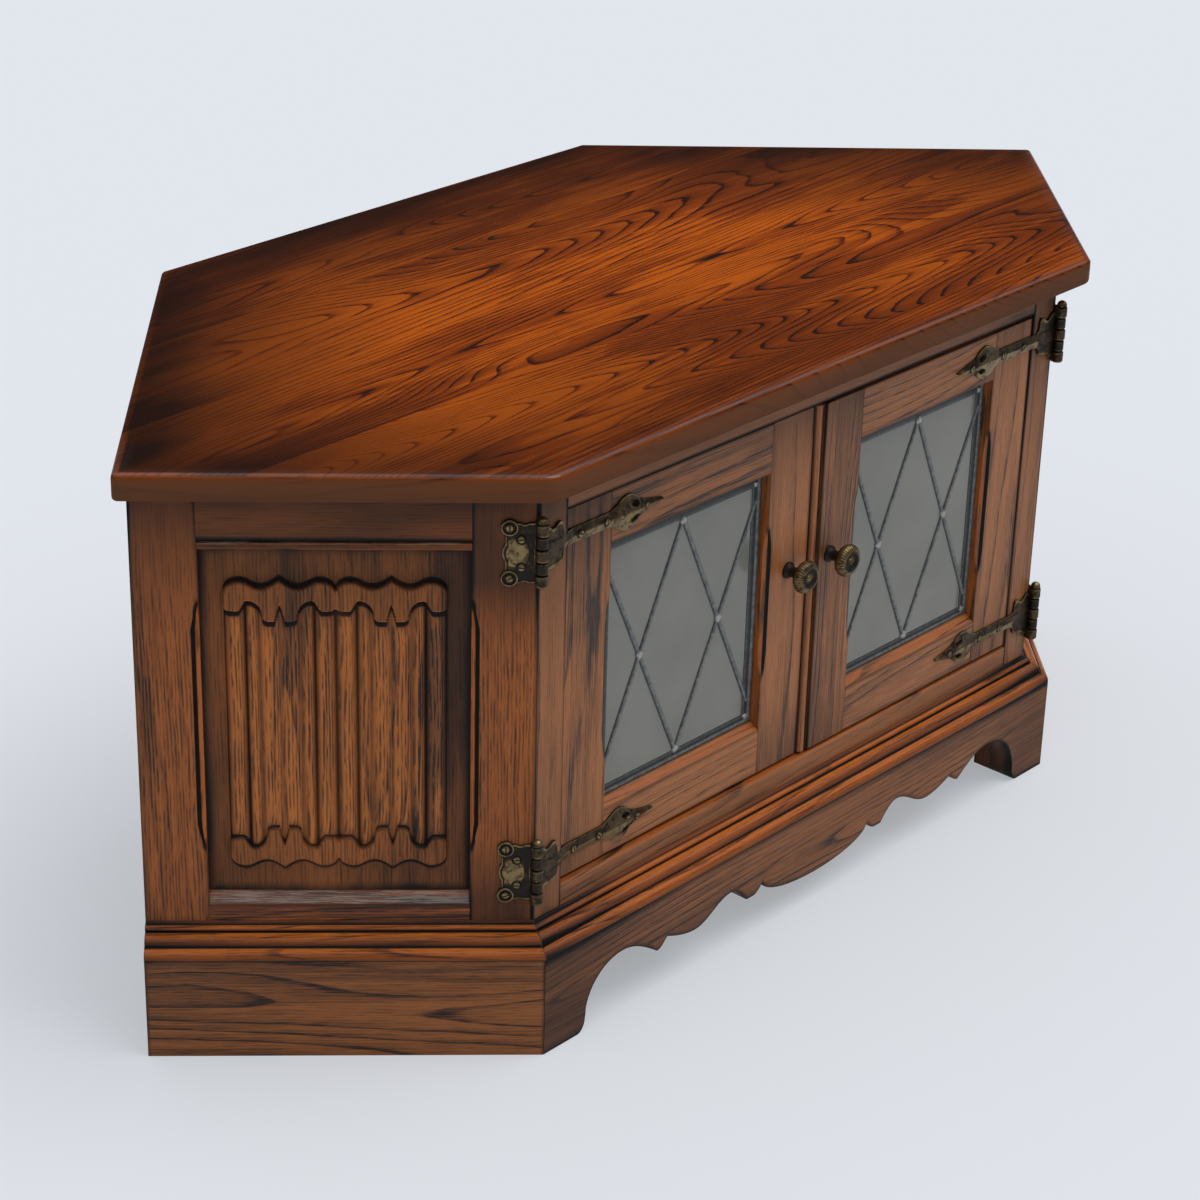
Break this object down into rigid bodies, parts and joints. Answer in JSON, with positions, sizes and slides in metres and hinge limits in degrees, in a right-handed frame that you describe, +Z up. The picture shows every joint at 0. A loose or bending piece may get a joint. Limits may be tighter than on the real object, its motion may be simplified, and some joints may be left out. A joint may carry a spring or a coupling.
{
  "type": "corner tv cabinet",
  "caption": "Low six-sided corner cabinet for a television: oak top, leaded glass doors on strap hinges, linenfold side panels, moulded plinth with scalloped apron.",
  "frame": {"origin": "on the floor, under the middle of the cabinet's box", "axes": "+X along the front from the left door to the right door, +Y from the front to the back, +Z up"},
  "size_m": [1.0836, 0.5116, 0.48],
  "materials": {
    "oak_top": "red-brown stained oak, glossy lacquer, darkened arrises",
    "oak_frame": "dark stained oak, satin lacquer",
    "oak_carved": "carved oak, rubbed highlights over a dark ground",
    "oak_door": "dark stained oak, satin lacquer",
    "oak_plinth": "stained oak, satin lacquer",
    "oak_moulding": "stained oak, glossy lacquer with dark quirks",
    "oak_shell": "plain stained oak, matt",
    "antique_brass": "antique brass, dark in the recesses",
    "leaded_glass": "clear pane, polished",
    "lead_came": "dull lead",
    "catch_plastic": "matt",
    "strike_steel": "plated"
  },
  "bodies": {
    "carcass": {"top_board": "oak_top", "left_rear_stile": "oak_frame", "left_front_stile": "oak_frame", "left_top_rail": "oak_frame", "left_bottom_rail": "oak_frame", "left_linenfold_panel": "oak_carved", "right_rear_stile": "oak_frame", "right_front_stile": "oak_frame", "right_top_rail": "oak_frame", "right_bottom_rail": "oak_frame", "right_linenfold_panel": "oak_carved", "left_face_stile": "oak_frame", "right_face_stile": "oak_frame", "face_top_rail": "oak_frame", "face_bottom_rail": "oak_frame", "cabinet_floor": "oak_shell", "floor_battens": "oak_shell", "left_wall_panel": "oak_shell", "right_wall_panel": "oak_shell", "back_panel": "oak_shell", "left_rear_post": "oak_shell", "right_rear_post": "oak_shell", "top_blocks": "oak_shell", "plinth_apron": "oak_plinth", "plinth_left": "oak_plinth", "plinth_right": "oak_plinth", "base_moulding_front": "oak_moulding", "base_moulding_left": "oak_moulding", "base_moulding_right": "oak_moulding", "left_hinge_leaves": "antique_brass", "right_hinge_leaves": "antique_brass", "hinge_pins": "antique_brass", "leaf_screws": "antique_brass", "magnetic_catches": "catch_plastic"},
    "left_door": {"left_door_hinge_stile": "oak_door", "left_door_meeting_stile": "oak_door", "left_door_top_rail": "oak_door", "left_door_bottom_rail": "oak_door", "left_door_glass": "leaded_glass", "left_door_leading": "lead_came", "left_door_glazing_beads": "oak_door", "left_door_knob": "antique_brass", "left_upper_strap": "antique_brass", "left_lower_strap": "antique_brass", "left_strap_screws": "antique_brass", "left_strike_plate": "strike_steel"},
    "right_door": {"right_door_hinge_stile": "oak_door", "right_door_meeting_stile": "oak_door", "right_door_top_rail": "oak_door", "right_door_bottom_rail": "oak_door", "right_door_glass": "leaded_glass", "right_door_leading": "lead_came", "right_door_glazing_beads": "oak_door", "right_door_knob": "antique_brass", "right_upper_strap": "antique_brass", "right_lower_strap": "antique_brass", "right_strap_screws": "antique_brass", "right_strike_plate": "strike_steel"}
  },
  "joints": [
    {"name": "left_door_hinge", "type": "hinge", "parent": "carcass", "child": "left_door", "pos_m": [-0.3177, -0.23605, 0.28], "axis": [0, 0, -1], "range_deg": [0, 210]},
    {"name": "right_door_hinge", "type": "hinge", "parent": "carcass", "child": "right_door", "pos_m": [0.3177, -0.23605, 0.28], "axis": [0, 0, 1], "range_deg": [0, 210]}
  ]
}
